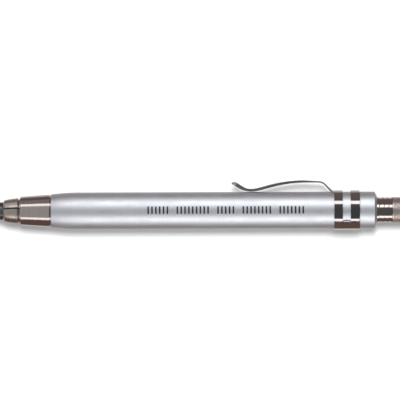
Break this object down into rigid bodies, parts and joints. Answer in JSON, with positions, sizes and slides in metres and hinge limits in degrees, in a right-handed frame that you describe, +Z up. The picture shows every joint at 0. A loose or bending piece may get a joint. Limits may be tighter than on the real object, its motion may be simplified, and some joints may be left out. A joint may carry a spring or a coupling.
{
  "type": "clutch lead holder",
  "caption": "Metal clutch lead holder for thick drafting leads, with a satin barrel, polished conical nose, spring jaws, pocket clip and ribbed push button.",
  "frame": {"origin": "on the surface that the holder lies on, under the middle of its box", "axes": "+X along the holder from the lead's point to the push button, +Y the side of the pocket clip, +Z up as it lies"},
  "size_m": [0.1436, 0.0154, 0.0126],
  "materials": {
    "satin_aluminium": "satin turned and clear anodised",
    "nickel": "polished nickel plate",
    "chrome": "bright polished chrome plate",
    "spring_steel": "bright drawn steel",
    "brass": "turned brass",
    "graphite": "dark grey graphite with a soft sheen",
    "fibre": "pressed fibre"
  },
  "bodies": {
    "barrel": {"barrel": "satin_aluminium", "nose_sleeve": "nickel", "tail_ferrule": "satin_aluminium", "clip_sleeve": "chrome", "spring_washer": "spring_steel", "return_spring": "spring_steel"},
    "clip_arm": {"clip_arm": "chrome"},
    "plunger": {"lead_tube": "brass", "collet_base": "nickel", "spring_collar": "brass", "button_stem": "chrome"},
    "jaw_1": {"jaw_1": "nickel"},
    "jaw_2": {"jaw_2": "nickel"},
    "jaw_3": {"jaw_3": "nickel"},
    "lead": {"lead": "graphite"},
    "cap_washer": {"cap_washer": "fibre"},
    "button_cap": {"button_cap": "nickel", "sharpener_body": "brass", "sharpener_blade": "spring_steel", "blade_screw": "spring_steel"}
  },
  "joints": [
    {"name": "button_push", "type": "slide", "parent": "barrel", "child": "plunger", "axis": [-1, 0, 0], "range_m": [0, 0.004], "stiffness_N_per_m": 1200, "springref_m": -0.005, "deforming": ["return_spring"]},
    {"name": "lead_feed", "type": "slide", "parent": "plunger", "child": "lead", "axis": [-1, 0, 0], "range_m": [-0.007, 0.03]},
    {"name": "cap_unscrew", "type": "hinge", "parent": "plunger", "child": "cap_washer", "pos_m": [0.0599, -0.00143, 0.00632], "axis": [1, 0, 0], "range_deg": [0, 2160]},
    {"name": "cap_lift", "type": "slide", "parent": "cap_washer", "child": "button_cap", "axis": [1, 0, 0], "range_m": [0, 0.0045]},
    {"name": "clip_flex", "type": "hinge", "parent": "barrel", "child": "clip_arm", "pos_m": [0.04065, 0.00468, 0.00632], "axis": [0, 0, -1], "range_deg": [0, 4], "stiffness_Nm_per_rad": 1.6, "springref_deg": -1.72},
    {"name": "jaw_1_open", "type": "hinge", "parent": "plunger", "child": "jaw_1", "pos_m": [-0.04755, 0.00158, 0.00724], "axis": [0, 0.2924, -0.9563], "range_deg": [0, 2.6]},
    {"name": "jaw_2_open", "type": "hinge", "parent": "plunger", "child": "jaw_2", "pos_m": [-0.04755, -0.00214, 0.00325], "axis": [0, -0.9744, 0.225], "range_deg": [0, 2.6]},
    {"name": "jaw_3_open", "type": "hinge", "parent": "plunger", "child": "jaw_3", "pos_m": [-0.04755, -0.00373, 0.00847], "axis": [0, 0.682, 0.7314], "range_deg": [0, 2.6]}
  ],
  "couplings": [
    {"joint": "cap_unscrew", "follows": "cap_lift", "rad_per_m": 8377.6},
    {"joint": "jaw_1_open", "follows": "button_push", "rad_per_m": 10.908},
    {"joint": "jaw_2_open", "follows": "button_push", "rad_per_m": 10.908},
    {"joint": "jaw_3_open", "follows": "button_push", "rad_per_m": 10.908}
  ]
}
